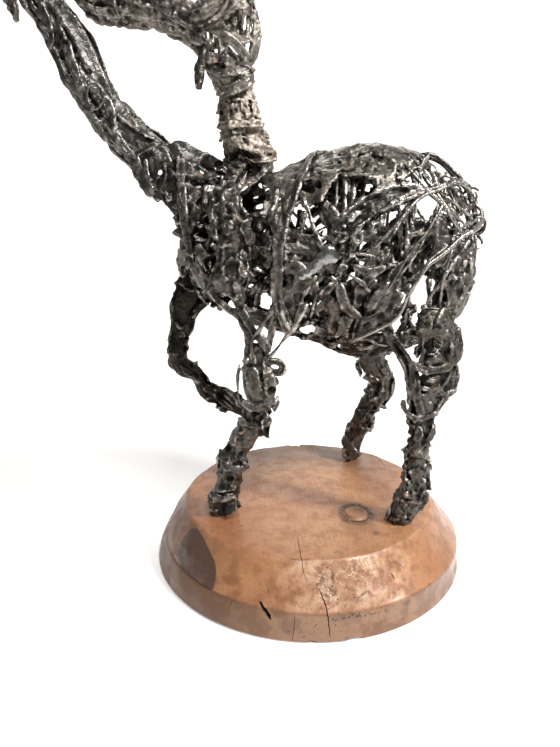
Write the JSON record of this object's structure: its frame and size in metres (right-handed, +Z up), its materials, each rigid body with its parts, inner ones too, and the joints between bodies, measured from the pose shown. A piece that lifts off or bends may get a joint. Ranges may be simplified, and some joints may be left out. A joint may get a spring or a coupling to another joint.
{
  "type": "welded iron knight on horseback on a wooden plinth",
  "caption": "Open welded-iron horse of ribs, straps and rods with a mounted knight, the right foreleg raised, standing on a turned wooden plinth.",
  "frame": {"origin": "centre of the plinth's round underside", "axes": "+Z up, the horse faces -X, its left side is towards -Y"},
  "size_m": [0.4506, 0.28, 0.549],
  "materials": {
    "iron": "blackened welded iron, worn bright on its edges, with brown rust in its hollows",
    "worn_iron": "rough grey-brown weld metal, dull",
    "wood": "waxed reddish-brown hardwood, satin, with cracks, a knot and dark stains"
  },
  "bodies": {
    "root": {"plinth": "wood", "chest_collar": "iron", "rib_1": "iron", "rib_2": "iron", "rib_3": "iron", "rib_4": "iron", "rib_5": "iron", "rib_6": "iron", "rib_7": "iron", "rib_8": "iron", "back_plate": "iron", "belly_plate": "iron", "saddle_strap": "iron", "shoulder_plate_left": "iron", "shoulder_plate_right": "iron", "flank_plate_left": "iron", "flank_plate_right": "iron", "haunch_plate_left": "iron", "haunch_plate_right": "iron", "horn_strap_left": "iron", "horn_strap_right": "iron", "side_rod_left_1": "iron", "side_rod_left_2": "iron", "side_rod_left_3": "iron", "side_rod_left_4": "iron", "side_rod_right_1": "iron", "side_rod_right_2": "iron", "side_rod_right_3": "iron", "side_rod_right_4": "iron", "rump_strap": "iron", "tail": "iron", "fore_leg_left": "iron", "fore_leg_right": "iron", "hind_leg_left": "iron", "hind_leg_right": "iron", "fore_strap_left_1": "iron", "fore_strap_left_2": "iron", "fore_strap_left_3": "iron", "neck": "iron", "horse_head": "iron", "cheek_drop": "iron", "ear_left": "iron", "ear_right": "iron", "rider_trunk": "iron", "rider_arm_left": "iron", "rider_arm_right": "iron", "rider_leg_left": "iron", "rider_leg_right": "iron", "rider_helmet": "iron", "hanging_drip": "iron", "rider_seat": "worn_iron"}
  },
  "joints": []
}
